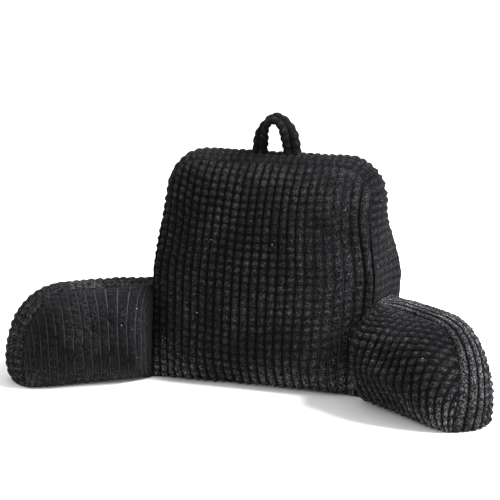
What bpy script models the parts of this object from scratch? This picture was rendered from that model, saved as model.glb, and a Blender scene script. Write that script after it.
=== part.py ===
"""Reading pillow with arms, in ribbed plush: a leaning backrest cushion, two splayed arm
cushions and a grab loop. Metres, +Z up, the front facing -Y, the base on z = 0 and the
origin under the middle of the footprint.

Each cushion is one filled solid: a front panel whose ribs run up, a boxing strip whose
ribs run along the edge, and a back panel. Its own frame is (a, n, z): a runs along the
panel, n is the depth (0 at the front seam, growing towards the back) and z is up.
"""

import math

import bmesh
import bpy
from mathutils import Vector
from mathutils.bvhtree import BVHTree

# Cloth
RIB_PITCH = 0.018
RIB_HEIGHT = 0.004
SEAM_DEPTH = 0.003
STRIP_RIBS = 6
JOIN_GAP = 0.0003
FLAT_TOLERANCE = 1e-5

# Backrest, measured along its seams
BACK_RIBS = 25
BACK_HALF_WIDTH = 0.225
BACK_SHOULDER_HALF_WIDTH = 0.214
BACK_HEIGHT = 0.426
BACK_CORNER = 0.070
BACK_LEAN = math.radians(12.5)
BACK_BASE_DEPTH = 0.122
BACK_TOP_DEPTH = 0.088
BACK_TOP_TUCK = 0.012
BACK_BASE_TUCK = 0.030
BACK_CROWN = 0.030
BACK_REAR_CROWN = 0.018
BACK_ROLL = 0.085
BACK_STRIP_SWELL = 0.015
BACK_ROWS_JOINED = 7
BACK_ROWS_FREE = 8
BACK_EDGE_STATION = 0.996

# Arms, measured along their seams
ARM_RIBS = 14
ARM_LENGTH = ARM_RIBS * RIB_PITCH
ARM_HEIGHT = 0.178
ARM_DEPTH = 0.109
ARM_SPLAY = math.radians(34)
ARM_TIP_LENGTH = 0.105
ARM_TIP_DROP = 0.140
ARM_TOP_TUCK = 0.050
ARM_TIP_TUCK = 0.008
ARM_REAR_TUCK = 0.006
ARM_BASE_TUCK = 0.024
ARM_BASE_ROLL = 0.095
ARM_CROWN = 0.074
ARM_TIP_CROWN = 0.034
ARM_REAR_CROWN = 0.020
ARM_ROLL = 0.072
ARM_CREASE_ROLL = 0.034
ARM_OVERHANG = 0.010
ARM_TOP_SWELL = 0.012
ARM_TIP_SWELL = 0.031
ARM_ROWS = 9
ARM_TURN_LENGTH = ARM_LENGTH / 2

# Where an arm is sewn to the backrest's side
JOIN_SKEW = math.radians(10)
JOIN_HEIGHT = 0.205
JOIN_BLEND = 0.160
BASE_ROLL = 0.050
SOLE_SWELL = 0.35

# Grab loop
LOOP_HALF_SPAN = 0.034
LOOP_SETBACK = 0.004
LOOP_RISE = 0.066
LOOP_WIDTH = 0.038
LOOP_THICKNESS = 0.012
LOOP_FOOT_TURN = math.radians(74)
LOOP_TOP_TURN = math.radians(20)
LOOP_TURN_START = 0.35
LOOP_STEPS = 28
LOOP_RIBS = 2
FOOT_SAMPLES = 8

PLUSH_ROUGHNESS = 0.95
PLUSH_METALLIC = 0.0
PLUSH_COLOUR = (0.012, 0.012, 0.014, 1.0)
STRAP_COLOUR = (0.014, 0.014, 0.016, 1.0)


def clamp(value, low=0.0, high=1.0):
    return max(low, min(high, value))


def smooth_step(value):
    value = clamp(value)
    return value * value * (3 - 2 * value)


def quarter_round(value):
    """Rises from 0 to 1 as a quarter circle does, steep at first."""
    return math.sqrt(1 - (1 - clamp(value)) ** 2)


def rib_place(count):
    """Height on a rib after count ribs: -0.5 in a groove, 0.5 on a crest."""
    return -0.5 * math.cos(2 * math.pi * count)


def mix(start, end, share):
    return start + (end - start) * share


def plush_material(name, colour):
    material = bpy.data.materials.new(name)
    material.use_nodes = True
    shader = material.node_tree.nodes["Principled BSDF"]
    shader.inputs["Base Color"].default_value = colour
    shader.inputs["Roughness"].default_value = PLUSH_ROUGHNESS
    shader.inputs["Metallic"].default_value = PLUSH_METALLIC
    return material


def clear_scene():
    for item in list(bpy.context.scene.objects):
        bpy.data.objects.remove(item)


def new_object(name, bm, material):
    bmesh.ops.recalc_face_normals(bm, faces=bm.faces)
    mesh = bpy.data.meshes.new(name)
    bm.to_mesh(mesh)
    bm.free()
    mesh.shade_smooth()
    mesh.materials.append(material)
    item = bpy.data.objects.new(name, mesh)
    bpy.context.scene.collection.objects.link(item)
    return item


def cushion(name, panels, path, ribs, swell, rib_share, held, material):
    """One closed cushion. panels is (front, back), each a grid of points by station and row.
    path lists the (station, row) of the outline that the boxing strip follows. ribs gives
    each station's place on its rib, from -0.5 in a groove to 0.5 on a crest. swell and
    rib_share give, for a step of the path, how far the strip bulges and how much of the
    rib stands on it. held says whether a point lies in a plane that must stay flat."""
    bm = bmesh.new()
    grids = [[[bm.verts.new(point) for point in line] for line in grid] for grid in panels]
    front, back = grids
    stations, rows = len(front), len(front[0])
    heights = {}
    for grid in grids:
        for i in range(stations):
            for j in range(rows):
                heights[grid[i][j]] = ribs[i] * RIB_HEIGHT
    steps = 2 * STRIP_RIBS
    strip = []
    for k, (i, j) in enumerate(path):
        start, end = front[i][j], back[i][j]
        line = [start]
        outward = outline_normal(panels, path, k)
        for g in range(1, steps):
            share = g / steps
            arch = 4 * share * (1 - share)
            point = start.co.lerp(end.co, share) + outward * swell(k) * arch
            vertex = bm.verts.new(point)
            crest = 0.5 if g % 2 else -0.5
            heights[vertex] = crest * RIB_HEIGHT * rib_share(k)
            line.append(vertex)
        line.append(end)
        for seam in (start, end):
            heights[seam] = -SEAM_DEPTH * rib_share(k)
        strip.append(line)
    for grid in (front, back):
        for i in range(stations - 1):
            for j in range(rows - 1):
                corners = (grid[i][j], grid[i + 1][j], grid[i + 1][j + 1], grid[i][j + 1])
                bm.faces.new(corners)
    for here, there in zip(strip, strip[1:]):
        for g in range(steps):
            bm.faces.new((here[g], there[g], there[g + 1], here[g + 1]))
    sole = [line[0] for line in front] + strip[-1][1:-1] + [line[0] for line in back][::-1]
    if path[0][1] == 0:
        sole += strip[0][1:-1][::-1]
    else:
        bm.faces.new(front[0] + strip[0][1:-1] + back[0][::-1])
    bm.faces.new(sole)
    bmesh.ops.recalc_face_normals(bm, faces=bm.faces)
    bm.normal_update()
    moved = {v: v.normal * height for v, height in heights.items() if not held(v.co)}
    for vertex, step in moved.items():
        vertex.co += step
    return new_object(name, bm, material)


def outline_normal(panels, path, k):
    """The direction away from the panel's middle, square to the outline and to the depth."""
    front, back = panels
    i, j = path[k]
    before = path[max(k - 1, 0)]
    after = path[min(k + 1, len(path) - 1)]
    along = front[after[0]][after[1]] - front[before[0]][before[1]]
    across = back[i][j] - front[i][j]
    return along.cross(across).normalized()


def rounded_top(distance, height, length, drop):
    """Height of a seam that falls by drop over its last length, as a quarter ellipse."""
    into = clamp(1 - distance / length)
    return height - drop * (1 - math.sqrt(1 - into * into))


def back_half_width(z):
    """Half the width of the backrest's front seam at height z."""
    joined = BACK_HALF_WIDTH + math.tan(JOIN_SKEW) * math.tan(BACK_LEAN) * min(z, JOIN_HEIGHT)
    share = smooth_step((z - JOIN_HEIGHT) / (BACK_HEIGHT - BACK_CORNER - JOIN_HEIGHT))
    return mix(joined, BACK_SHOULDER_HALF_WIDTH, share)


def back_skew(z):
    """How far the side strip runs outwards for each metre that it runs back."""
    return math.tan(JOIN_SKEW) * (1 - smooth_step((z - JOIN_HEIGHT) / JOIN_BLEND))


def back_station_list():
    """Places across the backrest from -1 to 1: a groove and a crest in turn, and one more
    near each side, where the seam turns its corner."""
    even = [step / BACK_RIBS - 1 for step in range(2 * BACK_RIBS + 1)]
    return [even[0], -BACK_EDGE_STATION] + even[1:-1] + [BACK_EDGE_STATION, even[-1]]


def back_rows():
    """Shares of a column's height: closer together near the base and the top seam."""
    joined = JOIN_HEIGHT / (BACK_HEIGHT - BACK_CORNER)
    low = [math.pi / 2 * j / BACK_ROWS_JOINED for j in range(BACK_ROWS_JOINED)]
    high = [math.pi / 2 * j / BACK_ROWS_FREE for j in range(BACK_ROWS_FREE + 1)]
    rows = [joined * (1 - math.cos(angle)) for angle in low]
    return rows + [mix(joined, 1, math.sin(angle)) for angle in high]


def back_point(place, share, rear):
    """A point of the backrest's front or rear panel."""
    side = (1 - abs(place)) * BACK_HALF_WIDTH
    top = rounded_top(side, BACK_HEIGHT, BACK_CORNER, BACK_CORNER)
    z = share * top
    depth = mix(BACK_BASE_DEPTH, BACK_TOP_DEPTH, z / BACK_HEIGHT)
    x = place * back_half_width(z)
    y = z * math.tan(BACK_LEAN)
    upper = quarter_round((top - z) / BACK_ROLL)
    lower = quarter_round(z / BASE_ROLL)
    roll = upper * lower
    if rear:
        x += place * back_skew(z) * depth
        y += depth + BACK_REAR_CROWN * roll * quarter_round(side / BACK_ROLL)
    else:
        free = smooth_step((z - JOIN_HEIGHT) / JOIN_BLEND)
        roll *= mix(smooth_step(side / BACK_ROLL), quarter_round(side / BACK_ROLL), free)
        y += BACK_TOP_TUCK * (1 - upper) * free + BACK_BASE_TUCK * (1 - lower) * (1 - place * place)
        y -= BACK_CROWN * roll
    return Vector((x, y, z))


def on_join_plane(point, gap=0.0):
    """Whether a point lies in the flat where an arm meets the backrest."""
    limit = BACK_HALF_WIDTH + gap / math.cos(JOIN_SKEW) + math.tan(JOIN_SKEW) * point.y
    flat = abs(abs(point.x) - limit) < FLAT_TOLERANCE
    return flat and point.z < JOIN_HEIGHT + FLAT_TOLERANCE


def build_backrest(material):
    places, shares = back_station_list(), back_rows()
    panels = [
        [[back_point(place, share, rear) for share in shares] for place in places]
        for rear in (False, True)
    ]
    last, top = len(places) - 1, len(shares) - 1
    path = [(0, j) for j in range(top)]
    path += [(i, top) for i in range(last)]
    path += [(last, j) for j in range(top, -1, -1)]

    def free(k):
        """0 where the strip is sewn to an arm, 1 where it is free."""
        i, j = path[k]
        return smooth_step((panels[0][i][j].z - JOIN_HEIGHT) / JOIN_BLEND)

    return cushion(
        "backrest",
        panels,
        path,
        [rib_place((place + 1) / 2 * BACK_RIBS) for place in places],
        lambda k: BACK_STRIP_SWELL * free(k),
        free,
        lambda point: point.z < FLAT_TOLERANCE or on_join_plane(point),
        material,
    )


def arm_stations():
    """Distances along the arm: a groove and a crest in turn, and two more at the tip, where
    the seam turns down."""
    even = [step * RIB_PITCH / 2 for step in range(2 * ARM_RIBS)]
    return even + [ARM_LENGTH - RIB_PITCH / 5, ARM_LENGTH - RIB_PITCH / 20, ARM_LENGTH]


def arm_point(along, share, rear, side):
    """A point of an arm's inner or outer panel. side is -1 on the left and 1 on the right."""
    top = rounded_top(ARM_LENGTH - along, ARM_HEIGHT, ARM_TIP_LENGTH, ARM_TIP_DROP)
    z = share * top
    ahead = quarter_round((ARM_LENGTH - along) / ARM_ROLL)
    crease = quarter_round(along / ARM_CREASE_ROLL)
    upper = quarter_round((top - z) / ARM_ROLL)
    lower = quarter_round(z / mix(ARM_BASE_ROLL, BASE_ROLL, smooth_step(along / ARM_LENGTH)))
    height = upper * lower
    roll = ahead * crease * height
    if rear:
        tuck = smooth_step(z / ARM_HEIGHT) + 1 - ahead
        n = ARM_DEPTH - ARM_REAR_TUCK * tuck + ARM_REAR_CROWN * roll
    else:
        crown = mix(ARM_CROWN, ARM_TIP_CROWN, smooth_step(along / ARM_LENGTH))
        base_share = smooth_step(along / ARM_CREASE_ROLL) * (1 - along / ARM_LENGTH)
        tuck = ARM_TOP_TUCK * smooth_step(top / ARM_HEIGHT) * (1 - upper)
        tuck += ARM_TIP_TUCK * (1 - ahead) + ARM_BASE_TUCK * (1 - lower) * base_share
        n = tuck - crown * roll
        along -= ARM_OVERHANG * height * crease * (1 - smooth_step(along / ARM_TURN_LENGTH))
    return arm_to_world(along, n, z, side)


def arm_to_world(along, n, z, side):
    """From the arm's own frame to the pillow's. Near the backrest the cross-sections turn
    until the first one lies in the joining plane."""
    turn = 1 - smooth_step(along / ARM_TURN_LENGTH)
    along = along - math.tan(ARM_SPLAY - JOIN_SKEW) * n * turn
    x = BACK_HALF_WIDTH + JOIN_GAP / math.cos(JOIN_SKEW)
    x += along * math.cos(ARM_SPLAY) + n * math.sin(ARM_SPLAY)
    y = -along * math.sin(ARM_SPLAY) + n * math.cos(ARM_SPLAY)
    return Vector((side * x, y, z))


def build_arm(name, side, material):
    places = arm_stations()
    shares = [(1 - math.cos(math.pi * j / ARM_ROWS)) / 2 for j in range(ARM_ROWS + 1)]
    panels = [
        [[arm_point(place, share, rear, side) for share in shares] for place in places]
        for rear in (False, True)
    ]
    last, top = len(places) - 1, len(shares) - 1
    path = [(i, top) for i in range(last)] + [(last, j) for j in range(top, -1, -1)]

    def swell(k):
        i, j = path[k]
        tip = smooth_step(1 - (ARM_LENGTH - places[i]) / ARM_TIP_LENGTH)
        amount = mix(ARM_TOP_SWELL * smooth_step(places[i] / ARM_ROLL), ARM_TIP_SWELL, tip)
        return side * amount * mix(SOLE_SWELL, 1, quarter_round(panels[0][i][j].z / BASE_ROLL))

    def rib_share(k):
        i, j = path[k]
        return quarter_round(panels[0][i][j].z / BASE_ROLL) * smooth_step(places[i] / RIB_PITCH)

    return cushion(
        name,
        panels,
        path,
        [rib_place(place / RIB_PITCH) for place in places],
        swell,
        rib_share,
        lambda point: point.z < FLAT_TOLERANCE or on_join_plane(point, JOIN_GAP),
        material,
    )


def loop_section():
    """The strap's cross-section as (across, through) pairs: rounded edges and a few ribs."""
    points = [(-0.5 * LOOP_WIDTH, 0.0)]
    steps = 2 * LOOP_RIBS
    for step in range(1, steps):
        across = (step / steps - 0.5) * LOOP_WIDTH
        crest = 0.5 if step % 2 else 0.5 - RIB_HEIGHT / 2 / LOOP_THICKNESS
        points.append((across, crest * LOOP_THICKNESS))
    lower = [(-across, -through) for across, through in points]
    return points + lower


def loop_frames(foot_z, middle_y):
    """Centre, across and through directions along the arch, from the left foot to the right.
    The strap turns on its way, so that its front edge at the top is its inner edge below."""
    frames = []
    for step in range(LOOP_STEPS + 1):
        angle = math.pi * (1 - step / LOOP_STEPS)
        rise = math.sin(angle)
        centre = Vector((LOOP_HALF_SPAN * math.cos(angle), middle_y, foot_z + LOOP_RISE * rise))
        along = Vector((LOOP_HALF_SPAN * rise, 0, -LOOP_RISE * math.cos(angle))).normalized()
        outward = Vector((LOOP_RISE * math.cos(angle), 0, LOOP_HALF_SPAN * rise)).normalized()
        turned = smooth_step((rise - LOOP_TURN_START) / (1 - LOOP_TURN_START))
        turn = mix(LOOP_FOOT_TURN, LOOP_TOP_TURN, turned)
        across = Vector((0, -math.cos(turn), 0)) - outward * math.sin(turn)
        frames.append((centre, across, along.cross(across).normalized()))
    return frames


def loop_rings(foot_z, middle_y):
    """The strap's outline at each step along the arch."""
    section = loop_section()
    return [
        [centre + across * a + through * t for a, t in section]
        for centre, across, through in loop_frames(foot_z, middle_y)
    ]


def foot_samples(ring):
    """Points spread over a foot, from its middle out to its outline."""
    middle = sum(ring, Vector()) / len(ring)
    samples = []
    for start, end in zip(ring, ring[1:] + ring[:1]):
        for step in range(FOOT_SAMPLES):
            edge = start.lerp(end, step / FOOT_SAMPLES)
            samples += [middle.lerp(edge, (out + 1) / FOOT_SAMPLES) for out in range(FOOT_SAMPLES)]
    return samples


def build_loop(backrest, material):
    """The strap stands on the top boxing strip, its flat feet just clear of the ribs."""
    middle_y = BACK_HEIGHT * math.tan(BACK_LEAN) + BACK_TOP_DEPTH / 2 + LOOP_SETBACK
    surface = BVHTree.FromObject(backrest, bpy.context.evaluated_depsgraph_get())
    level = loop_rings(0.0, middle_y)
    feet = foot_samples(level[0]) + foot_samples(level[-1])
    down = Vector((0, 0, -1))
    reach = max(surface.ray_cast(point - down, down)[0].z for point in feet)
    bm = bmesh.new()
    outlines = loop_rings(reach + JOIN_GAP, middle_y)
    rings = [[bm.verts.new(point) for point in outline] for outline in outlines]
    for here, there in zip(rings, rings[1:]):
        for k in range(len(here)):
            after = (k + 1) % len(here)
            bm.faces.new((here[k], here[after], there[after], there[k]))
    bm.faces.new(rings[0])
    bm.faces.new(rings[-1])
    return new_object("handle", bm, material)


def centre_footprint(items):
    """Moves every mesh back or forth so that the footprint's middle is at y = 0."""
    depths = [vertex.co.y for item in items for vertex in item.data.vertices]
    middle = (min(depths) + max(depths)) / 2
    for item in items:
        for vertex in item.data.vertices:
            vertex.co.y -= middle


def main():
    clear_scene()
    plush = plush_material("black ribbed plush", PLUSH_COLOUR)
    strap = plush_material("black plush strap", STRAP_COLOUR)
    backrest = build_backrest(plush)
    arms = [build_arm(name, side, plush) for name, side in (("arm_left", -1), ("arm_right", 1))]
    handle = build_loop(backrest, strap)
    centre_footprint([backrest, handle] + arms)


main()
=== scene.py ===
# %% [markdown]
# # A reading pillow with arms, in black ribbed plush
#
# The pillow is three stuffed cushions sewn side by side, a leaning backrest and two arms,
# with a grab loop on the top edge. All of it is cut from one cloth: a corn plush, whose
# long ribs are rows of small square tufts. Almost everything that a picture of it shows is
# cloth, so this lesson spends its time on two things: how a stuffed cushion fills out
# between its seams, and how ribs and tufts lie on it.
#
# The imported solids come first. They are the fixed frame: every piece made here takes the
# place of one of them and stays in its space.

# %% Load the frame
import math
from collections import namedtuple

import bmesh
import bpy
import numpy as np
from mathutils import Matrix, Vector, noise


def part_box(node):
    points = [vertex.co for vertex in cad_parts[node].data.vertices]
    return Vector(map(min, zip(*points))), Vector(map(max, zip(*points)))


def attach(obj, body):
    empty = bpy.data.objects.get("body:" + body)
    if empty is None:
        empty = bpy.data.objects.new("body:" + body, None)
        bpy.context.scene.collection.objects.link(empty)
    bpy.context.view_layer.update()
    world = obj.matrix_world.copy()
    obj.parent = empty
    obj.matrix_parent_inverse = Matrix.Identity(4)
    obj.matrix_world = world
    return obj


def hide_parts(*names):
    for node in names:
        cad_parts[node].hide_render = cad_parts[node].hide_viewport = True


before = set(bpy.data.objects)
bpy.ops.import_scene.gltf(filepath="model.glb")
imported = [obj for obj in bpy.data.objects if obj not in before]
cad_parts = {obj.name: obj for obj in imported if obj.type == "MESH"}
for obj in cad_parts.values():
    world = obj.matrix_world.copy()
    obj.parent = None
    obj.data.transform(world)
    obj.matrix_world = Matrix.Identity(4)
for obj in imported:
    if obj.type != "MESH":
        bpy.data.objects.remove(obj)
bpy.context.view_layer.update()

print("solids:", ", ".join(sorted(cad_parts)))

# %% [markdown]
# ## Sizes
#
# The solids were drawn from a few driving sizes: how far apart the ribs are, how wide and
# tall each cushion is along its seams, how far the backrest leans and the arms splay. The
# same sizes are repeated here, because the fine cloth has to lie where the solids lie. One
# of them is measured instead: the solids were slid back until their footprint was centred,
# so the y of the backrest's front seam is read from the vertices of its sole.

# %% Sizes shared by the cushions
RIB = 0.018
TUFT = 0.0158
STRIP_RIBS = 6
BASE_ROLL = 0.050
print(f"cloth: ribs {RIB * 1000:.0f} mm apart, tufts {TUFT * 1000:.1f} mm long")

# %% Sizes of the backrest
BACK_RIBS = 25
BACK_HALF_WIDTH = 0.225
BACK_SHOULDER = 0.214
BACK_HEIGHT = 0.426
BACK_CORNER = 0.070
BACK_LEAN = math.radians(12.5)
BACK_BASE_DEPTH = 0.122
BACK_TOP_DEPTH = 0.088
BACK_TOP_TUCK = 0.012
BACK_BASE_TUCK = 0.030
BACK_CROWN = 0.030
BACK_REAR_CROWN = 0.018
BACK_ROLL = 0.085
BACK_SWELL = 0.015
print(f"backrest: {BACK_RIBS * RIB * 1000:.0f} mm of cloth across, seam {BACK_HEIGHT * 1000:.0f} mm up")

# %% Sizes of the arms, and of the seam that joins them to the backrest
ARM_RIBS = 14
ARM_LENGTH = ARM_RIBS * RIB
ARM_HEIGHT = 0.178
ARM_DEPTH = 0.109
ARM_SPLAY = math.radians(34)
ARM_TIP_LENGTH = 0.105
ARM_TIP_DROP = 0.140
ARM_TOP_TUCK = 0.050
ARM_TIP_TUCK = 0.008
ARM_REAR_TUCK = 0.006
ARM_BASE_TUCK = 0.024
ARM_BASE_ROLL = 0.095
ARM_CROWN = 0.074
ARM_TIP_CROWN = 0.034
ARM_REAR_CROWN = 0.020
ARM_ROLL = 0.072
ARM_CREASE_ROLL = 0.034
ARM_OVERHANG = 0.010
ARM_TOP_SWELL = 0.012
ARM_TIP_SWELL = 0.031
JOIN_SKEW = math.radians(10)
JOIN_HEIGHT = 0.205
JOIN_BLEND = 0.160
JOIN_GAP = 0.0003
SOLE_SWELL = 0.35
print(f"arms: seam {ARM_LENGTH * 1000:.0f} mm long, splayed by {math.degrees(ARM_SPLAY):.0f} degrees")

# %% Where the front seam stands
sole = [vertex.co.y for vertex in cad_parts["backrest"].data.vertices if vertex.co.z < 1e-5]
FRONT_Y = min(sole)
print(f"front seam at y = {FRONT_Y:.4f} m")

# %% [markdown]
# ## The camera
#
# The picture was taken from a little to the right and above, from far away. A long lens
# keeps the near arm from growing. The camera is built from two angles, a distance and the
# place of the picture's middle, and it is rolled by under two degrees because the picture
# is. All of it is worked out for a square picture of 500 by 500 pixels.

# %% Camera
PIXEL = 0.00195
PICTURE = 500
VIEW_TURN = math.radians(22.539)
VIEW_TILT = math.radians(14.884)
VIEW_ROLL = math.radians(-1.834)
VIEW_DISTANCE = 1977.0 * PIXEL
VIEW_SIDE = -4.218 * PIXEL
VIEW_RISE = 141.784 * PIXEL
VIEW_AIM = Vector((0, -0.052, 0))

right = Vector((math.cos(VIEW_TURN), math.sin(VIEW_TURN), 0))
ahead = Vector((-math.sin(VIEW_TURN) * math.cos(VIEW_TILT), math.cos(VIEW_TURN) * math.cos(VIEW_TILT),
                -math.sin(VIEW_TILT)))
upward = right.cross(ahead)
place = VIEW_AIM - VIEW_SIDE * right + VIEW_RISE * upward - VIEW_DISTANCE * ahead
rolled_right = math.cos(VIEW_ROLL) * right + math.sin(VIEW_ROLL) * upward
rolled_up = math.cos(VIEW_ROLL) * upward - math.sin(VIEW_ROLL) * right
lens = bpy.data.cameras.new("camera")
lens.sensor_width = 36.0
lens.lens = lens.sensor_width * VIEW_DISTANCE / PIXEL / PICTURE
lens.clip_end = 50.0
camera = bpy.data.objects.new("camera", lens)
turned = Matrix((rolled_right, rolled_up, -ahead)).transposed().to_4x4()
camera.matrix_world = Matrix.Translation(place) @ turned
bpy.context.scene.collection.objects.link(camera)
bpy.context.scene.camera = camera
print(f"camera {place.length:.2f} m away, lens {lens.lens:.0f} mm")

# %% [markdown]
# ## Curves that shape a cushion
#
# Five short formulas make every outline here. `clip` keeps a share between 0 and 1.
# `smooth` eases in and out, for a change that must not show where it starts. `quarter`
# rises like a quarter circle, steep at first, as cloth does beside a seam. `mix` goes from
# one value to another by a share, and `seam_top` is a straight top edge that turns down at
# its end as a quarter ellipse. They take whole numpy arrays, so one call shapes a whole
# panel.


# %% Helpers for curves
def clip(value):
    return np.clip(value, 0.0, 1.0)


def smooth(value):
    value = clip(value)
    return value * value * (3 - 2 * value)


def quarter(value):
    return np.sqrt(1 - (1 - clip(value)) ** 2)


def mix(start, end, share):
    return start + (end - start) * share


def seam_top(distance, height, length, drop):
    into = clip(1 - distance / length)
    return height - drop * (1 - np.sqrt(1 - into * into))


# %% [markdown]
# ## The panels, before they are stuffed
#
# A panel is a grid of points. Its stations run across the ribs and its rows run up them,
# so that a rib is always a straight line of the grid. `crown` says how far the panel is
# already puffed out: the cloth simulation adds the rest.


# %% The backrest's two panels
def back_half_width(z):
    joined = BACK_HALF_WIDTH + math.tan(JOIN_SKEW) * math.tan(BACK_LEAN) * np.minimum(z, JOIN_HEIGHT)
    share = smooth((z - JOIN_HEIGHT) / (BACK_HEIGHT - BACK_CORNER - JOIN_HEIGHT))
    return mix(joined, BACK_SHOULDER, share)


def back_panel(count, share, rear, crown):
    """Points of the front or rear panel. count is in ribs from the left, share in heights of
    the column."""
    place = 2 * count / BACK_RIBS - 1
    side = (1 - np.abs(place)) * BACK_HALF_WIDTH
    top = seam_top(side, BACK_HEIGHT, BACK_CORNER, BACK_CORNER)
    z = share * top
    depth = mix(BACK_BASE_DEPTH, BACK_TOP_DEPTH, z / BACK_HEIGHT)
    x = place * back_half_width(z)
    y = z * math.tan(BACK_LEAN) + FRONT_Y
    upper, lower = quarter((top - z) / BACK_ROLL), quarter(z / BASE_ROLL)
    across = quarter(side / BACK_ROLL)
    if rear:
        skew = math.tan(JOIN_SKEW) * (1 - smooth((z - JOIN_HEIGHT) / JOIN_BLEND))
        x = x + place * skew * depth
        y = y + depth + crown * BACK_REAR_CROWN * upper * lower * across
    else:
        free = smooth((z - JOIN_HEIGHT) / JOIN_BLEND)
        across = mix(smooth(side / BACK_ROLL), across, free)
        y = y + BACK_TOP_TUCK * (1 - upper) * free + BACK_BASE_TUCK * (1 - lower) * (1 - place ** 2)
        y = y - crown * BACK_CROWN * upper * lower * across
    return np.stack([x, y, z], -1)


# %% An arm's two panels
def arm_panel(count, share, rear, crown, side):
    """Points of the inner or outer panel: count is in ribs from the backrest."""
    along = count * RIB
    top = seam_top(ARM_LENGTH - along, ARM_HEIGHT, ARM_TIP_LENGTH, ARM_TIP_DROP)
    z = share * top
    ahead = quarter((ARM_LENGTH - along) / ARM_ROLL)
    crease = quarter(along / ARM_CREASE_ROLL)
    upper = quarter((top - z) / ARM_ROLL)
    lower = quarter(z / mix(ARM_BASE_ROLL, BASE_ROLL, smooth(along / ARM_LENGTH)))
    height = upper * lower
    turn = 1 - smooth(2 * along / ARM_LENGTH)
    if rear:
        tuck = ARM_REAR_TUCK * (smooth(z / ARM_HEIGHT) + 1 - ahead)
        n = ARM_DEPTH - tuck + crown * ARM_REAR_CROWN * ahead * crease * height
    else:
        full = mix(ARM_CROWN, ARM_TIP_CROWN, smooth(along / ARM_LENGTH))
        tuck = ARM_TOP_TUCK * smooth(top / ARM_HEIGHT) * (1 - upper) + ARM_TIP_TUCK * (1 - ahead)
        foot_tuck = ARM_BASE_TUCK * (1 - lower) * smooth(along / ARM_CREASE_ROLL)
        tuck = tuck + foot_tuck * (1 - along / ARM_LENGTH)
        n = tuck - crown * full * ahead * crease * height
        along = along - ARM_OVERHANG * height * crease * turn
    along = along - math.tan(ARM_SPLAY - JOIN_SKEW) * n * turn
    x = BACK_HALF_WIDTH + JOIN_GAP / math.cos(JOIN_SKEW)
    x = x + along * math.cos(ARM_SPLAY) + n * math.sin(ARM_SPLAY)
    y = -along * math.sin(ARM_SPLAY) + n * math.cos(ARM_SPLAY) + FRONT_Y
    return np.stack([side * x, y, z], -1)


# %% [markdown]
# ## One closed cushion
#
# A cushion is a front panel, a back panel and a boxing strip that runs between them along
# the outline. `Cushion` holds the three grids and knows which points they share, so the
# seams are sewn by using the same points, not by laying one mesh on another. The sole, and
# on an arm the flat where it meets the backrest, close it.


# %% The cushion's grids and how they are sewn together
def outline(grid, both_sides):
    """A panel's edge without its base, in the order of the boxing strip. It starts at the
    left foot where both_sides is True, as on the backrest, and otherwise at the top of the
    first station, as on an arm."""
    top, end = grid[:, -1], grid[-1, ::-1]
    start = grid[0, :-1] if both_sides else grid[0, :0]
    return np.concatenate([start, top[:-1], end])


class Cushion:
    def __init__(self, front, back, strip, both_sides):
        """front and back are (stations, rows, 3) and strip is (steps along, steps across, 3)."""
        self.front, self.back, self.strip, self.both_sides = front, back, strip, both_sides
        self.stations, self.rows = front.shape[:2]
        grid = np.arange(self.stations * self.rows).reshape(self.stations, self.rows)
        self.front_id = grid
        self.back_id = grid + grid.size
        inside = np.arange(strip[:, 1:-1].size // 3).reshape(len(strip), -1) + 2 * grid.size
        edge, rear_edge = outline(self.front_id, both_sides), outline(self.back_id, both_sides)
        self.strip_id = np.column_stack([edge, inside, rear_edge])

    def points(self):
        parts = [self.front.reshape(-1, 3), self.back.reshape(-1, 3), self.strip[:, 1:-1].reshape(-1, 3)]
        return np.concatenate(parts)

    def take(self, points):
        """Puts moved points back into the three grids."""
        self.front = points[self.front_id]
        self.back = points[self.back_id]
        self.strip = points[self.strip_id]

    def faces(self):
        def quads(ids):
            return np.stack([ids[:-1, :-1], ids[1:, :-1], ids[1:, 1:], ids[:-1, 1:]], -1).reshape(-1, 4)

        walls = [quads(self.front_id), quads(self.back_id), quads(self.strip_id)]
        walls.append(quads(np.column_stack([self.front_id[:, 0], self.back_id[:, 0]])))
        if not self.both_sides:
            walls.append(quads(np.column_stack([self.front_id[0], self.back_id[0]])))
        return np.concatenate(walls).tolist() + [self.strip_id[0].tolist(), self.strip_id[-1].tolist()]


# %% [markdown]
# ## Stuffing a cushion
#
# A real cushion gets its shape from the stuffing that pushes its cloth out against the
# seams. Blender's Cloth modifier can do the same: the sewn points are pinned, gravity is
# off and the air pressure inside does the work. The mesh that goes in is coarse, a little
# over two cells to a rib, because this step only has to find the big form. It keeps its
# grid, so each point still knows which rib it is on. The push is then scaled and capped to
# fit the crown that the solid has, since the pressure alone doesn't know how firmly the
# pillow is filled.

# %% Cloth simulation
CLOTH_FRAMES = 20
CLOTH_PRESSURE = 4.0
CLOTH_STRETCH = 12.0
CLOTH_SHEAR = 4.0
CLOTH_BEND = 0.5
FULL_PUSH_PERCENTILE = 90


def mesh_object(name, points, faces):
    mesh = bpy.data.meshes.new(name)
    mesh.from_pydata(points.tolist(), [], faces)
    work = bmesh.new()
    work.from_mesh(mesh)
    bmesh.ops.recalc_face_normals(work, faces=work.faces)
    work.to_mesh(mesh)
    work.free()
    mesh.shade_smooth()
    made = bpy.data.objects.new(name, mesh)
    bpy.context.scene.collection.objects.link(made)
    return made


def read_points(mesh, what="co"):
    values = np.empty(len(mesh.vertices) * 3)
    mesh.vertices.foreach_get(what, values)
    return values.reshape(-1, 3)


def sewn_points(cushion):
    """The points on a seam or on the sole's edge, which the stuffing can't push out."""
    front, back, strip = cushion.front_id, cushion.back_id, cushion.strip_id
    lines = [strip[:, 0], strip[:, -1], front[:, 0], back[:, 0], strip[-1], strip[0], front[0], back[0]]
    return np.unique(np.concatenate(lines)).tolist()


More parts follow.
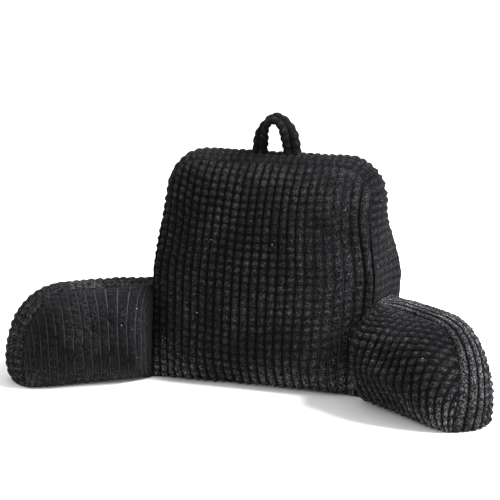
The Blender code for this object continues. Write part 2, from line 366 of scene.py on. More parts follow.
def stuff(cushion, swelling, cap):
    """Puffs the cushion out. swelling is a full push, which one point in ten exceeds, and
    cap is the most that a point may move, both in metres."""
    points = cushion.points()
    bag = mesh_object("bag", points, cushion.faces())
    group = bag.vertex_groups.new(name="sewn")
    group.add(sewn_points(cushion), 1.0, "REPLACE")
    cloth = bag.modifiers.new("cloth", "CLOTH")
    cloth.settings.vertex_group_mass = group.name
    cloth.settings.use_pressure = True
    cloth.settings.uniform_pressure_force = CLOTH_PRESSURE
    cloth.settings.effector_weights.gravity = 0.0
    cloth.settings.tension_stiffness = CLOTH_STRETCH
    cloth.settings.compression_stiffness = CLOTH_STRETCH
    cloth.settings.shear_stiffness = CLOTH_SHEAR
    cloth.settings.bending_stiffness = CLOTH_BEND
    cloth.collision_settings.use_self_collision = False
    cloth.collision_settings.use_collision = False
    cloth.point_cache.frame_start = 1
    cloth.point_cache.frame_end = CLOTH_FRAMES
    for frame_number in range(1, CLOTH_FRAMES + 1):
        bpy.context.scene.frame_set(frame_number)
    seen = bag.evaluated_get(bpy.context.evaluated_depsgraph_get())
    push = read_points(seen.data) - points
    bpy.data.objects.remove(bag)
    bpy.context.scene.frame_set(1)
    length = np.linalg.norm(push, axis=1)
    push *= swelling / np.percentile(length[length > 0], FULL_PUSH_PERCENTILE)
    length = np.linalg.norm(push, axis=1)
    push *= np.minimum(1, cap / np.maximum(length, 1e-9))[:, None]
    cushion.take(points + push)
    print(f"  stuffed: {len(points)} points, pushed out by up to {length.max() * 1000:.1f} mm")


# %% [markdown]
# ## From the coarse form to the fine cloth
#
# The stuffed form is read again through a smooth spline, at as many places as the tufts
# need. The places aren't even. A rib of this plush is a full round lobe that meets the next
# one in a narrow groove, so most of a rib's bend is beside the groove, and most of the
# places are there too. Every groove and every crest has a line of the grid of its own, and
# so they come out crisp at any angle.

# %% Reading a grid in between its points
RIB_PLACES = (0.0, 0.055, 0.15, 0.31, 0.50, 0.69, 0.85, 0.945)
CELL = 0.0078


def spline(values, at):
    """Reads values at fractional places along their first axis, on a smooth curve."""
    first = np.clip(np.floor(at).astype(int), 0, len(values) - 2)
    t = (at - first).reshape(-1, *[1] * (values.ndim - 1))
    padded = np.concatenate([2 * values[:1] - values[1:2], values, 2 * values[-1:] - values[-2:-1]])
    a, b, c, d = (padded[first + step] for step in range(4))
    return b + t / 2 * (c - a + t * (2 * a - 5 * b + 4 * c - d + t * (3 * (b - c) + d - a)))


def across_ribs(ribs):
    """Places across a number of ribs, in ribs."""
    places = [rib + place for rib in range(ribs) for place in RIB_PLACES]
    return np.array(places + [ribs])


def refine(cushion, count_at, row_at, across_at):
    """Reads the cushion again at fractional stations, rows and places across the strip."""
    def panel(grid):
        return spline(spline(grid, count_at).swapaxes(0, 1), row_at).swapaxes(0, 1)

    rows = cushion.rows - 1
    start = rows if cushion.both_sides else 0
    path = [start + count_at[:-1], start + cushion.stations - 1 + rows - row_at[::-1]]
    if cushion.both_sides:
        path.insert(0, row_at[:-1])
    path = np.concatenate(path)
    strip = spline(spline(cushion.strip, path).swapaxes(0, 1), across_at).swapaxes(0, 1)
    return Cushion(panel(cushion.front), panel(cushion.back), strip, cushion.both_sides)


# %% [markdown]
# ## Ribs and tufts
#
# The relief of the cloth is a height for each point, which then moves that far along the
# surface's normal. A rib is a lobe that is round on top and steep at its sides, and notches
# across it part it into tufts, like beads on a string. Where the pile is brushed flat the
# lobe is broad and level, and between two ribs a line of the bare backing shows. Within a
# few millimetres of a seam all of it comes down to the stitches, steeply, as a quarter
# circle does.
#
# No two tufts are alike, so each thing that varies has a smooth noise of its own, from slow
# waves over several tufts to single tips of the pile, which give even the outline some
# fluff. The seed moves a noise elsewhere, so that they don't repeat each other.

# %% What varies in the cloth
Uneven = namedtuple("Uneven", "amount lump seed")
STAND = Uneven(0.16, 0.070, 3.0)
TUFT_STAND = Uneven(0.14, 0.016, 9.0)
NOTCH_DEPTH = Uneven(0.70, 0.110, 7.0)
ROW_SHIFT = Uneven(0.22, 0.050, 11.0)
PILE = Uneven(0.0006, 0.0042, 0.0)
PILE_TIPS = Uneven(0.0004, 0.0021, 5.0)


def noise_at(points, lump, seed=0.0):
    """Smooth noise from about -1 to 1 whose lumps are that many metres across."""
    scaled = points / lump + seed
    values = [noise.noise(Vector(point)) for point in scaled.reshape(-1, 3)]
    return np.array(values).reshape(points.shape[:-1])


def uneven(points, kind):
    return kind.amount * noise_at(points, kind.lump, kind.seed)


# %% Heights of the cloth
RIB_RISE = 0.0074
RIB_SINK = 0.0040
TUFT_NOTCH = 0.60
SEAM_RISE = 0.0006
SEAM_REACH = 0.0045
GROOVE_WIDTH = 0.09
LOBE_POWER = (2.0, 3.5)
LOBE_ROOT = (1.0, 0.6)
BEAD_POWER = 1.2


def lobe(count, bare=0.5):
    """1 on a rib's crest and 0 in the grooves beside it. A bare rib is flatter on top."""
    across = np.abs(2 * (count - np.floor(count)) - 1)
    return (1 - across ** mix(*LOBE_POWER, bare)) ** mix(*LOBE_ROOT, bare)


def bead(row):
    """1 in the middle of a tuft and 0 in the notch between two of them."""
    return np.abs(np.sin(math.pi * row)) ** BEAD_POWER


def relief(points, count, row, seam, notch, bare=0.5, groove=1.0):
    """Height of the cloth at each point. count and row are in ribs and tufts, seam is the
    distance to the nearest seam in metres, and notch and groove say how deeply the tufts and
    the ribs are parted."""
    stand = 1 + uneven(points, STAND) + uneven(points, TUFT_STAND)
    depth = clip(notch * (1 + uneven(points, NOTCH_DEPTH)))
    shifted = row + uneven(points, ROW_SHIFT)
    pile = uneven(points, PILE) + uneven(points, PILE_TIPS)
    ridge = 1 - groove * (1 - lobe(count, bare))
    height = RIB_RISE * stand * ridge * (1 - depth * (1 - bead(shifted))) - RIB_SINK
    return mix(SEAM_RISE, height + pile * lobe(count), quarter(seam / SEAM_REACH))


def groove_mark(count, seam):
    """1 on the line at the bottom of a groove, which the shader shows as bare backing."""
    aside = np.abs(count - np.round(count))
    return clip(1 - aside / GROOVE_WIDTH) * (seam > SEAM_REACH)


def lengths_along(line):
    """Distance of each point from the first, along a line of points."""
    steps = np.linalg.norm(np.diff(line, axis=0), axis=-1)
    return np.concatenate([np.zeros_like(steps[:1]), np.cumsum(steps, axis=0)])


print(f"relief: crests {(RIB_RISE - RIB_SINK) * 1000:.1f} mm out, grooves {RIB_SINK * 1000:.1f} mm in")

# %% [markdown]
# ## How the pile was brushed
#
# One cloth has three faces on this pillow. On the left arm the pile is brushed flat. On the
# right arm it stands up in tufts, and the strip over its tip catches the lamp. On the
# backrest it changes from tufts on the left to lined ribs on the right. A `Pile` names what
# differs between the cushions. Its two light factors are painted light and shade: they set how
# light the tips look on a cushion's panels and on its strip, standing in for how the lamp
# falls on each. The folds get painted light and shade too: a painted band of bounce light
# just above the base, and painted shade in the crease between an arm and the backrest.

# %% The pile of each cushion
# The two light factors of a Pile are painted light and shade: they make a cushion's panels and its strip
# lighter or darker, standing in for how the lamp falls on them.
Pile = namedtuple("Pile", "panel_tone strip_tone strip_groove strip_notch")
BACK_PILE = Pile(panel_tone=1.18, strip_tone=0.70, strip_groove=0.30, strip_notch=(0.8, 0.9))
LEFT_PILE = Pile(panel_tone=0.68, strip_tone=1.35, strip_groove=0.40, strip_notch=(0.4, 0.9))
RIGHT_PILE = Pile(panel_tone=1.35, strip_tone=2.15, strip_groove=1.00, strip_notch=(0.2, 1.0))
# Painted bounce light: the pile is made lighter just above the base.
PAINTED_BASE_LIGHT = 2.6
PAINTED_BASE_LIGHT_REACH = 0.10
# Painted shade in the crease between an arm and the backrest.
PAINTED_CREASE_SHADE = 0.20
PAINTED_CREASE_SHADE_REACH = 0.055
# Painted light: the strip is made lighter higher up, as if lit from above.
STRIP_PAINTED_TOP_LIGHT = (0.90, 1.15)
# Limits of the painted shade in the grooves and light on the crests.
CREST_RANGE = (0.1, 1.3)


def painted_groove_shade(height):
    """Painted shade from the height alone: 1 on a crest, and low in a groove, where shade falls."""
    return np.clip(0.5 + 0.5 * height / (RIB_RISE - RIB_SINK), *CREST_RANGE)


def set_shade(piece, name, values):
    """Stores a number for each point, which the material reads by its name."""
    piece.data.attributes.new(name, "FLOAT", "POINT").data.foreach_set("value", values)


print("strip tones:", BACK_PILE.strip_tone, LEFT_PILE.strip_tone, RIGHT_PILE.strip_tone)

# %% [markdown]
# ## Laying the cloth on a cushion
#
# `Cloth` goes over a fine cushion panel by panel. A panel's ribs run up it, and the boxing
# strip's ribs run along it, with the tufts' rows straight across all six. The strip's
# notches are deeper from its middle to the back, which makes the outline knobby where it
# turns away from the eye. Two slow shifts of all the points, one in waves of 60 mm and one
# in ripples of 13 mm, keep the seams and grooves from being ruled lines.

# %% Cloth on a fine cushion
BASE_REACH = 0.014
BARE_FLAT = 0.60
STRIP_RELIEF = 0.90
STRIP_TURN = 2.5
STRIP_TURN_REACH = 2.0
RIB_WAVE = 0.0010
WAVE_LUMP = 0.060
RIB_RIPPLE = 0.0010
RIPPLE_LUMP = 0.013
SHIFT_SEEDS = (21.0, 33.0, 47.0)


def shift_at(points, lump):
    """Noise of three numbers for each point, to move it any way."""
    return np.stack([noise_at(points, lump, seed) for seed in SHIFT_SEEDS], -1)


class Cloth:
    """For each point of a cushion: how high the cloth stands, how high its tufts would stand
    if nothing pressed them, how much backing shows, and how much painted light or shade the pile gets."""

    def __init__(self, cushion, pile):
        self.cushion, self.pile = cushion, pile
        self.height = np.zeros(len(cushion.points()))
        self.tuft = np.zeros_like(self.height)
        self.backing = np.zeros_like(self.height)
        self.tone = np.ones_like(self.height)

    def lay_panel(self, grid, ids, count, notch, bare):
        """count has each station's place in ribs, notch says how deeply the tufts are
        parted, and bare how flat each station's rib is brushed."""
        rise = lengths_along(grid.swapaxes(0, 1)).T
        side = lengths_along(grid)
        seam = np.minimum(np.minimum(side, side[-1:] - side), rise[:, -1:] - rise)
        columns = np.broadcast_to(count[:, None], rise.shape)
        self.tuft[ids] = relief(grid, columns, rise / TUFT, seam, notch, bare[:, None])
        self.height[ids] = self.tuft[ids] * quarter(rise / BASE_REACH) * (1 - BARE_FLAT * bare[:, None])
        # Painted light and shade: each cushion's panels get their own light factor, and a painted band of
        # bounce light just above the base.
        self.tone[ids] = self.pile.panel_tone * mix(PAINTED_BASE_LIGHT, 1, smooth(rise / PAINTED_BASE_LIGHT_REACH))
        self.backing[ids] = groove_mark(columns, seam) * bare[:, None]
        if not self.cushion.both_sides:
            self.height[ids] *= smooth(side / SEAM_REACH)
            # Painted shade in the crease beside the backrest.
            self.tone[ids] *= mix(PAINTED_CREASE_SHADE, 1, smooth(side / PAINTED_CREASE_SHADE_REACH))

    def lay_strip(self, across, free):
        """across has the places on the strip's ribs. free is 0 for each step along the strip
        that is pressed flat against a neighbour, and 1 where nothing touches it."""
        strip, ids = self.cushion.strip, self.cushion.strip_id
        over = lengths_along(strip.swapaxes(0, 1)).T
        along = lengths_along(strip).mean(axis=1, keepdims=True)
        seam = np.minimum(over, over[:, -1:] - over)
        columns = np.broadcast_to(across[None, :], over.shape)
        notch = mix(*self.pile.strip_notch, smooth((across - STRIP_TURN) / STRIP_TURN_REACH))[None, :]
        width = np.minimum(1, over[:, -1:] / (STRIP_RIBS * RIB))
        self.tuft[ids] = relief(strip, columns, along / TUFT, seam, notch, groove=self.pile.strip_groove)
        self.height[ids] = self.tuft[ids] * free[:, None] * width * STRIP_RELIEF
        # Painted light and shade on the strip: its own light factor, and lighter higher up as if lit from
        # above.
        self.tone[ids] = self.pile.strip_tone * mix(*STRIP_PAINTED_TOP_LIGHT, smooth(strip[..., 2] / ARM_HEIGHT))
        self.backing[ids] = 0

    def make(self, name):
        """Makes the mesh, moved out along its normals, with its shades stored on it."""
        piece = mesh_object(name, self.cushion.points(), self.cushion.faces())
        smooth_skin = read_points(piece.data)
        points = smooth_skin + read_points(piece.data, "normal") * self.height[:, None]
        points = points + RIB_WAVE * shift_at(smooth_skin, WAVE_LUMP)
        points = points + RIB_RIPPLE * shift_at(smooth_skin, RIPPLE_LUMP)
        points[:, 2] = np.maximum(points[:, 2], 0.0)
        piece.data.vertices.foreach_set("co", points.ravel())
        set_shade(piece, "backing", self.backing)
        # The crest number is painted light and shade: painted shade in the grooves, times the cushion's
        # painted light and shade.
        set_shade(piece, "crest", self.tone * painted_groove_shade(self.tuft))
        piece.data.update()
        print(f"  {name}: {len(points)} points")
        return piece


# %% [markdown]
# ## Where the stations stand
#
# The top seam turns down in a quarter ellipse, at the backrest's two corners and at an
# arm's tip. Evenly spaced stations would leave one huge step where it drops straight down.
# So they are spaced by the ellipse's own angle there, and evenly elsewhere. `steps_from_end`
# turns a distance from the end into a number of such steps, and `distance_of` turns it back.
# `row_share` does the like for the rows, which crowd at the base and at the top seam.


# %% Stations that crowd where the seam turns down
def steps_from_end(distance, reach):
    angle = np.arccos(clip(1 - distance / reach))
    return reach / CELL * angle + np.maximum(distance - reach, 0) / CELL


def distance_of(steps, reach):
    turned = reach / CELL * math.pi / 2
    bent = reach * (1 - np.cos(np.minimum(steps, turned) * CELL / reach))
    return bent + np.maximum(steps - turned, 0) * CELL


def row_share(along, crowding):
    """Share of a column's height at each row: denser at both ends, where the cloth turns in."""
    return mix(along, (1 - np.cos(math.pi * along)) / 2, crowding)


# %% Sewing two panels and a strip into a cushion
STRIP_CELLS = 2
START_CROWN = 0.85
CROWN = START_CROWN


def strip_between(front, back, turn, swell):
    """The coarse boxing strip from the front outline to the back one, bulging by swell."""
    share = np.linspace(0, 1, STRIP_CELLS * STRIP_RIBS + 1)[None, :, None]
    outward = np.cross(np.gradient(front, axis=0), back - front) * turn
    outward /= np.linalg.norm(outward, axis=1)[:, None]
    arch = 4 * share * (1 - share)
    return mix(front[:, None], back[:, None], share) + (outward * swell[:, None])[:, None] * arch


def make_cushion(front, back, both_sides, turn, swell_of):
    """Sews two coarse panels and a strip. swell_of takes the outline's points, and turn is
    -1 where the strip has to bulge the other way, as on the left arm."""
    edge, rear_edge = outline(front, both_sides), outline(back, both_sides)
    return Cushion(front, back, strip_between(edge, rear_edge, turn, swell_of(edge)), both_sides)


print(f"the stuffing starts from {CROWN:.2f} of the crown")

# %% [markdown]
# ## The backrest
#
# The backrest's panels start with 0.85 of their crown, and the stuffing adds the rest. Where
# an arm joins it, its strip is pressed flat, and it comes free just above. From the left to
# the right the notches get shallower, and from the middle on the grooves open.

# %% Backrest
TUFT_CELLS = 6
STATION_STEP = 0.25
CORNER_STATIONS = 7
BACK_CROWDING = 0.4
BACK_SWELLING = 0.013
BACK_SWELLING_CAP = 0.018
BACK_NOTCHES = (1.1, 0.6)
BACK_BARE = 0.8
BARE_START = 0.9
BARE_END = 0.12
FREE_BELOW = 0.02
FREE_REACH = 0.03


def corner_stations(count):
    """Stations close to an end of the seam, as distances in steps."""
    return STATION_STEP * np.arange(count)


def back_swell(edge):
    return BACK_SWELL * smooth((edge[:, 2] - JOIN_HEIGHT) / JOIN_BLEND)


def build_backrest():
    half = BACK_RIBS * RIB / 2
    total = steps_from_end(half, BACK_CORNER)
    cells = 2 * round(total)
    even = np.linspace(-total, total, cells + 1)
    counts = np.sign(even) * (half - distance_of(total - np.abs(even), BACK_CORNER)) / RIB + BACK_RIBS / 2
    rows = round(BACK_HEIGHT / CELL)
    shares = row_share(np.linspace(0, 1, rows + 1), BACK_CROWDING)
    front, back = (back_panel(counts[:, None], shares[None], rear, CROWN) for rear in (False, True))
    coarse = make_cushion(front, back, True, 1, back_swell)
    stuff(coarse, BACK_SWELLING, BACK_SWELLING_CAP)

    near = distance_of(corner_stations(CORNER_STATIONS), BACK_CORNER) / RIB
    fine = np.unique(np.concatenate([across_ribs(BACK_RIBS), near, BACK_RIBS - near]))
    distance = half - np.abs(fine - BACK_RIBS / 2) * RIB
    at = np.sign(fine - BACK_RIBS / 2) * (total - steps_from_end(distance, BACK_CORNER))
    at = (at + total) / (2 * total) * cells
    row_at = np.linspace(0, rows, round(BACK_HEIGHT / TUFT * TUFT_CELLS) + 1)
    across = across_ribs(STRIP_RIBS)
    cushion = refine(coarse, at, row_at, across * STRIP_CELLS)

    over = fine / BACK_RIBS
    notch = TUFT_NOTCH * mix(*BACK_NOTCHES, smooth(over))[:, None]
    bare = BACK_BARE * smooth(2 * over - BARE_START) * smooth((1 - over) / BARE_END)
    edge = outline(cushion.front, True)
    free = smooth((edge[:, 2] - JOIN_HEIGHT + FREE_BELOW) / FREE_REACH)
    cloth = Cloth(cushion, BACK_PILE)
    cloth.lay_panel(cushion.front, cushion.front_id, fine, notch, bare)
    cloth.lay_panel(cushion.back, cushion.back_id, fine, notch, bare)
    cloth.lay_strip(across, free)
    return cloth.make("backrest_cushion")


backrest = build_backrest()

# %% [markdown]
# ## The arms
#
# Both arms are one function, mirrored by `side`. An arm's inner panel bulges out steeply
# beside the crease, so the coarse stations crowd there as well as at the tip. Cloth doesn't
# stretch, and so the ribs of the inner panel are counted along the stuffed surface, not
# along the seam: on the steep wall a rib takes less of the seam. The outer panel is nearly
# flat, and its ribs keep the even count of the seam. It never lies against a reader, so its
# pile is not brushed bare.

# %% Arms
TIP_STATIONS = 13
ARM_GIRTH = 0.30
ARM_CELLS = 1.3
ARM_CROWDING = 0.6
ARM_ROW_CROWDING = 0.85
ARM_SWELLING = 0.012
ARM_SWELLING_CAP = 0.017
ARM_LOW_NOTCH = 0.35
NOTCH_SLOPE = 1.6
NOTCH_START = 0.3


def build_arm(name, side, notch, bare, pile):
    total = steps_from_end(ARM_LENGTH, ARM_TIP_LENGTH)
    cells = round(ARM_CELLS * total)
    even = np.linspace(0, 1, cells + 1)
    even = total * mix(even, even ** 2, ARM_CROWDING)
    counts = (ARM_LENGTH - distance_of(total - even, ARM_TIP_LENGTH)) / RIB
    rows = round(ARM_GIRTH / CELL)
    shares = row_share(np.linspace(0, 1, rows + 1), ARM_ROW_CROWDING)
    front, back = (arm_panel(counts[:, None], shares[None], rear, CROWN, side) for rear in (False, True))
    reach = np.concatenate([counts[:-1] * RIB, np.full(rows + 1, ARM_LENGTH)])

    def arm_swell(edge):
        tip = smooth(1 - (ARM_LENGTH - reach) / ARM_TIP_LENGTH)
        amount = mix(ARM_TOP_SWELL * smooth(reach / ARM_ROLL), ARM_TIP_SWELL, tip)
        return amount * mix(SOLE_SWELL, 1, quarter(edge[:, 2] / BASE_ROLL))

    coarse = make_cushion(front, back, False, side, arm_swell)
    stuff(coarse, ARM_SWELLING, ARM_SWELLING_CAP)

    girth = lengths_along(coarse.front)[:, rows // 2]
    ribs = round(girth[-1] / RIB)
    near = ARM_RIBS - distance_of(corner_stations(TIP_STATIONS), ARM_TIP_LENGTH) / RIB
    near = np.interp(near, counts, girth) / girth[-1] * ribs
    fine = np.unique(np.concatenate([across_ribs(ribs), near]))
    seam_count = np.interp(fine / ribs * girth[-1], girth, counts)
    at = np.interp(seam_count, counts, np.arange(cells + 1))
    row_at = np.linspace(0, rows, round(ARM_GIRTH / TUFT * TUFT_CELLS) + 1)
    across = across_ribs(STRIP_RIBS)
    cushion = refine(coarse, at, row_at, across * STRIP_CELLS)

    higher = smooth(NOTCH_SLOPE * row_at / rows - NOTCH_START)
    notch = notch * TUFT_NOTCH * mix(ARM_LOW_NOTCH, 1.0, higher)[None, :]
    free = smooth(np.concatenate([fine[:-1], np.full(len(row_at), ribs)]))
    cloth = Cloth(cushion, pile)
    cloth.lay_panel(cushion.front, cushion.front_id, fine, notch, np.full(len(fine), bare))
    cloth.lay_panel(cushion.back, cushion.back_id, seam_count, notch, np.zeros(len(fine)))
    cloth.lay_strip(across, free)
    print(f"  {name}: {ribs} ribs over the bulge")
    return cloth.make(name)


arm_left = build_arm("arm_left_cushion", -1, notch=0.5, bare=1.0, pile=LEFT_PILE)
arm_right = build_arm("arm_right_cushion", 1, notch=1.3, bare=0.0, pile=RIGHT_PILE)

# %% [markdown]
# ## The grab loop
#
# The loop is one strap of the same plush, folded and sewn flat, two ribs wide and bent into
# an arch. At its feet the broad side faces the front. On the way up it twists, until the
# edge that was the inner one is the front one and the strap lies like the top of a bridge.
# It could be swept along a curve, but a strap that twists on the way is easier to lay out
# as rings: at each step along the arch a ring says where the strap's middle is and which
# way its width and its thickness point.

# %% Grab loop
LOOP_HALF_SPAN = 0.034
LOOP_SETBACK = 0.004
LOOP_RISE = 0.066
LOOP_WIDTH = 0.038
LOOP_THICKNESS = 0.012
LOOP_FOOT_TURN = math.radians(74)
LOOP_TOP_TURN = math.radians(20)
LOOP_TURN_START = 0.35
LOOP_RIBS = 2
LOOP_SINK = 0.006
LOOP_STEPS = 110
LOOP_RELIEF = 0.55
LOOP_SCALLOP = 0.0022
LOOP_SHADE = 0.70
LOOP_EDGE_POWER = 4
LOOP_FLUFF = 0.0010
LOOP_FLUFF_LUMP = 0.004


def loop_sides(stand, outward):
    """Which way the strap's width and thickness point at each step. stand is how high up
    the arch a step is, from 0 at the feet to 1 at the top."""
    twist = smooth((stand - LOOP_TURN_START) / (1 - LOOP_TURN_START))
    turn = mix(LOOP_FOOT_TURN, LOOP_TOP_TURN, twist)[:, None]
    across = np.array([0, -1, 0]) * np.cos(turn) - outward * np.sin(turn)
    along = np.stack([outward[:, 2], np.zeros_like(stand), -outward[:, 0]], -1)
    return across, np.cross(along, across)


def ring_of(front, rear):
    """Joins a strap's two faces into rings; they share the points at both edges."""
    return np.concatenate([front, rear[:, ::-1][:, 1:-1]], axis=1)


def build_loop():
    foot_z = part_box("handle")[0].z
    middle_y = BACK_HEIGHT * math.tan(BACK_LEAN) + BACK_TOP_DEPTH / 2 + LOOP_SETBACK + FRONT_Y
    angle = np.linspace(math.pi, 0, LOOP_STEPS + 1)
    stand = np.sin(angle)
    centre = np.stack([LOOP_HALF_SPAN * np.cos(angle), np.full_like(angle, middle_y),
                       foot_z - LOOP_SINK * (1 - stand) + LOOP_RISE * stand], -1)
    outward = np.stack([LOOP_RISE * np.cos(angle), np.zeros_like(angle), LOOP_HALF_SPAN * stand], -1)
    outward /= np.linalg.norm(outward, axis=1)[:, None]
    across, through = loop_sides(stand, outward)

    count = across_ribs(LOOP_RIBS)
    share = 2 * count / LOOP_RIBS - 1
    tuft = bead(lengths_along(centre) / TUFT)[:, None]
    body = LOOP_THICKNESS / 2 * (1 - np.abs(share) ** LOOP_EDGE_POWER) ** 0.5
    raised = RIB_RISE * lobe(count) * mix(1 - TUFT_NOTCH, 1, tuft) - RIB_SINK
    height = np.maximum(body + LOOP_RELIEF * raised * body * 2 / LOOP_THICKNESS, 0)
    width = share * (LOOP_WIDTH / 2 - LOOP_SCALLOP * (1 - tuft))
    middle = centre[:, None] + across[:, None] * width[..., None]
    thick = through[:, None] * height[..., None]
    rings = ring_of(middle + thick, middle - thick)
    tufts = ring_of(raised, raised)

    ids = np.arange(tufts.size).reshape(tufts.shape)
    after = np.roll(ids, -1, axis=1)
    quads = np.stack([ids[:-1], after[:-1], after[1:], ids[1:]], -1).reshape(-1, 4).tolist()
    points = rings.reshape(-1, 3)
    fluff = LOOP_FLUFF * noise_at(points, LOOP_FLUFF_LUMP)[:, None]
    points = points + fluff * np.repeat(through, tufts.shape[1], axis=0)
    loop = mesh_object("grab_loop", points, quads + [ids[0].tolist(), ids[-1].tolist()])
    set_shade(loop, "backing", np.zeros(tufts.size))
    # Painted shade in the strap's grooves.
    set_shade(loop, "crest", LOOP_SHADE * painted_groove_shade(tufts).ravel())
    print(f"  grab_loop: {len(points)} points")
    return loop


grab_loop = build_loop()

# %% [markdown]
# ## The plush
#
# Black plush is never plain black. The pile stands up and scatters a little light from its
# sides, most of it where the surface turns away from the eye, and that is what sheen does
# in the Principled shader. The pile also leans this way and that, so noise at the size of a
# brushed patch, of a tuft and of a tip of pile mixes a near-black with a dark grey. How
# much of the grey shows follows the `crest` number that each point got with its relief, and
# that number is painted light and shade: more grey on a crest and less in a groove, as
# painted shade in the grooves, times each cushion's painted light and shade. The `backing`
# number marks the lines where a groove is brushed open to the bare cloth, and a coarser
# noise wears them away here and there. A few specks of lint finish it, small spots of a
# cell pattern that only show in rare patches.
# The maths of these masks is written as Python expressions. `Wire` wraps a socket, so that
# `1 - mask` adds the Math node that does it.


# %% Writing shader maths as expressions
MIX_FACTOR = 0
MIX_BASE = 6
MIX_COVER = 7
MIX_RESULT = 2


class Wire:
    def __init__(self, socket):
        self.socket = socket

    def node(self, kind, settings, inputs, output=0):
        """Adds any node: first its settings, then the values or links of its sockets."""
        made = self.socket.id_data.nodes.new(kind)
        for name, value in settings.items():
            setattr(made, name, value)
        for key, value in inputs.items():
            if isinstance(value, Wire):
                self.socket.id_data.links.new(value.socket, made.inputs[key])
            else:
                made.inputs[key].default_value = value
        return Wire(made.outputs[output])

    def math(self, operation, *values):
        return self.node("ShaderNodeMath", {"operation": operation}, dict(enumerate(values)))

    def __add__(self, other):
        return self.math("ADD", self, other)

    def __sub__(self, other):
        return self.math("SUBTRACT", self, other)

    def __rsub__(self, other):
        return self.math("SUBTRACT", other, self)

    def __mul__(self, other):
        return self.math("MULTIPLY", self, other)

    def __pow__(self, other):
        return self.math("POWER", self, other)

    __radd__ = __add__
    __rmul__ = __mul__

    def between(self, low, high):
        """0 below low, 1 above high, and eased between them."""
        settings = {"interpolation_type": "SMOOTHSTEP"}
        inputs = {"Value": self, "From Min": low, "From Max": high}
        return self.node("ShaderNodeMapRange", settings, inputs)

    def noise(self, where, scale, detail):
        return self.node("ShaderNodeTexNoise", {}, {"Vector": where, "Scale": scale, "Detail": detail})

    def tint(self, mask, base, cover):
        """Colour base where mask is 0 and cover where it is 1."""
        settings = {"data_type": "RGBA", "clamp_factor": False}
        inputs = {MIX_FACTOR: mask, MIX_BASE: base, MIX_COVER: cover}
        return self.node("ShaderNodeMix", settings, inputs, MIX_RESULT)

    def attribute(self, name):
        return self.node("ShaderNodeAttribute", {"attribute_name": name}, {}, "Fac")


# %% The plush material
PILE_DARK = (0.0022, 0.0022, 0.0025, 1)
PILE_LIGHT = (0.0350, 0.0347, 0.0371, 1)
BACKING = (0.030, 0.030, 0.032, 1)
LINT = (0.55, 0.55, 0.58, 1)
PATCH_SCALE = 14.0
LINT_PATCH_SCALE = 45.0
WORN_SCALE = 60.0
LINT_SCALE = 85.0
TUFT_SCALE = 120.0
TIP_SCALE = 370.0
FIBRE_SCALE = 1500.0
TIP_RANGE = (0.44, 0.64)
TIP_POWER = 1.4
TIP_AMOUNT = 0.85
TUFT_RANGE = (0.35, 0.7)
TUFT_AMOUNT = 0.15
PATCH_RANGE = (0.3, 0.7)
PATCH_GAIN = 0.6
PATCH_LEAST = 0.5
CREST_POWER = 1.5
WORN_RANGE = (0.25, 0.50)
BACKING_RANGE = (0.15, 0.8)
LINT_RARE = (0.69, 0.70)
LINT_SPOT = (0.05, 0.075)
TIP_BUMP = 0.7
FIBRE_BUMP = 0.5


def pile_light(where, tips, crest):
    """How much of the light grey shows: tips of pile and tufts, by patches, and less in the grooves, by
    the crest number's painted shade.
    """
    tufts = where.noise(where, TUFT_SCALE, 2.0)
    patches = where.noise(where, PATCH_SCALE, 1.0)
    light = tips.between(*TIP_RANGE) ** TIP_POWER * TIP_AMOUNT + tufts.between(*TUFT_RANGE) * TUFT_AMOUNT
    return light * (patches.between(*PATCH_RANGE) * PATCH_GAIN + PATCH_LEAST) * crest ** CREST_POWER


def lint_mask(where):
    """1 on a speck of lint: the middle of a cell, where a second noise is at its height."""
    cells = where.node("ShaderNodeTexVoronoi", {}, {"Vector": where, "Scale": LINT_SCALE}, "Distance")
    rare = where.noise(where, LINT_PATCH_SCALE, 0.0).between(*LINT_RARE)
    return (1 - cells.between(*LINT_SPOT)) * rare


def plush(name):
    material = bpy.data.materials.new(name)
    material.use_nodes = True
    shader = material.node_tree.nodes["Principled BSDF"]
    where = Wire(shader.outputs[0]).node("ShaderNodeTexCoord", {}, {}, "Object")
    tips = where.noise(where, TIP_SCALE, 2.0)
    # The crest number is painted light and shade: painted shade in the grooves, and each cushion's
    # painted light and shade.
    colour = where.tint(pile_light(where, tips, where.attribute("crest")), PILE_DARK, PILE_LIGHT)
    worn = where.noise(where, WORN_SCALE, 2.0).between(*WORN_RANGE)
    colour = where.tint(where.attribute("backing").between(*BACKING_RANGE) * worn, colour, BACKING)
    colour = where.tint(lint_mask(where), colour, LINT)
    fibres = tips * TIP_BUMP + where.noise(where, FIBRE_SCALE, 2.0) * FIBRE_BUMP
    bump = where.node("ShaderNodeBump", {}, {"Strength": 0.55, "Distance": 0.0012, "Height": fibres})
    links = material.node_tree.links
    links.new(colour.socket, shader.inputs["Base Color"])
    links.new(bump.socket, shader.inputs["Normal"])
    shader.inputs["Roughness"].default_value = 0.9
    shader.inputs["Specular IOR Level"].default_value = 0.02
    shader.inputs["Sheen Weight"].default_value = 0.03
    shader.inputs["Sheen Roughness"].default_value = 0.45
    shader.inputs["Sheen Tint"].default_value = (0.75, 0.74, 0.80, 1)
    print(f"  {name}: {len(material.node_tree.nodes)} shader nodes")
    return material


black_plush = plush("black ribbed plush")
strap_plush = plush("black plush strap")
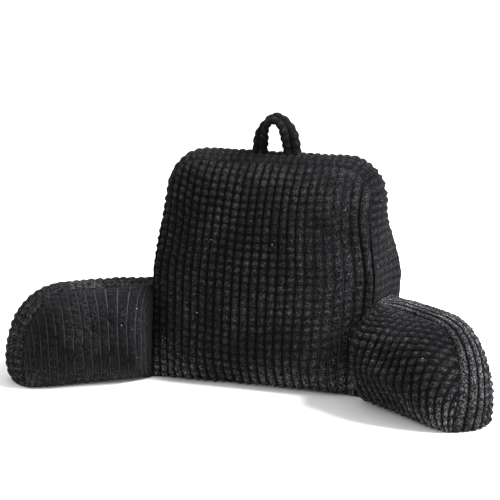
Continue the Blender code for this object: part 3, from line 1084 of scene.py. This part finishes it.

# %% [markdown]
# ## Handing the pieces to the frame
#
# Each piece rides on the pillow's one body and stands for one solid. The table also lists
# each piece's slot and how tightly a cushion is filled, the backrest a bit fuller than the
# arms and the loop, a strap, with no filling; nothing here uses these two columns.

# %% Ride and replace
PIECES = (
    (backrest, "backrest", "plush", black_plush, 0.75),
    (arm_left, "arm_left", "plush", black_plush, 0.7),
    (arm_right, "arm_right", "plush", black_plush, 0.7),
    (grab_loop, "handle", "strap", strap_plush, None),
)
for piece, node, slot, material, fill in PIECES:
    piece.data.materials.append(material)
    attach(piece, "root")
    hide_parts(node)
    print(f"  {piece.name} stands for {node}")

# %% [markdown]
# ## Floor and light
#
# The pillow stands on a plain pale floor in a white room. The room gives the even light
# that keeps every groove readable. One soft lamp, high up on the right and a little behind
# the front seam, gives the ribs their bright sides and throws a faint shadow to the left.

# %% Floor
FLOOR_TONE = (0.66, 0.66, 0.66, 1)
FLOOR_REACH = 12.0

corners = [(x * FLOOR_REACH, y * FLOOR_REACH, 0) for x, y in ((-1, -1), (1, -1), (1, 1), (-1, 1))]
floor_mesh = bpy.data.meshes.new("floor")
floor_mesh.from_pydata(corners, [], [(0, 1, 2, 3)])
floor = bpy.data.objects.new("floor", floor_mesh)
bpy.context.scene.collection.objects.link(floor)
floor_paint = bpy.data.materials.new("pale floor")
floor_paint.use_nodes = True
floor_shader = floor_paint.node_tree.nodes["Principled BSDF"]
floor_shader.inputs["Base Color"].default_value = FLOOR_TONE
floor_shader.inputs["Roughness"].default_value = 1.0
floor_mesh.materials.append(floor_paint)
print(f"floor: {2 * FLOOR_REACH:.0f} m wide")

# %% Room and lamp
ROOM_LIGHT = 1.5
LAMP_PLACE = Vector((2.5, 0.3, 2.6))
LAMP_AIM = Vector((0.2, 0, 0.15))
LAMP_SIZE = 1.2
LAMP_POWER = 470

room = bpy.data.worlds.new("white room")
bpy.context.scene.world = room
room.use_nodes = True
room.node_tree.nodes["Background"].inputs["Color"].default_value = (1, 1, 1, 1)
room.node_tree.nodes["Background"].inputs["Strength"].default_value = ROOM_LIGHT

light = bpy.data.lights.new("key lamp", "AREA")
light.size = LAMP_SIZE
light.energy = LAMP_POWER
lamp = bpy.data.objects.new("key lamp", light)
lamp.location = LAMP_PLACE
lamp.rotation_euler = (LAMP_AIM - LAMP_PLACE).to_track_quat("-Z", "Y").to_euler()
bpy.context.scene.collection.objects.link(lamp)
bpy.context.scene.view_settings.view_transform = "Standard"
print(f"key lamp: {LAMP_POWER} W, {LAMP_SIZE} m across, {(LAMP_AIM - LAMP_PLACE).length:.1f} m away")
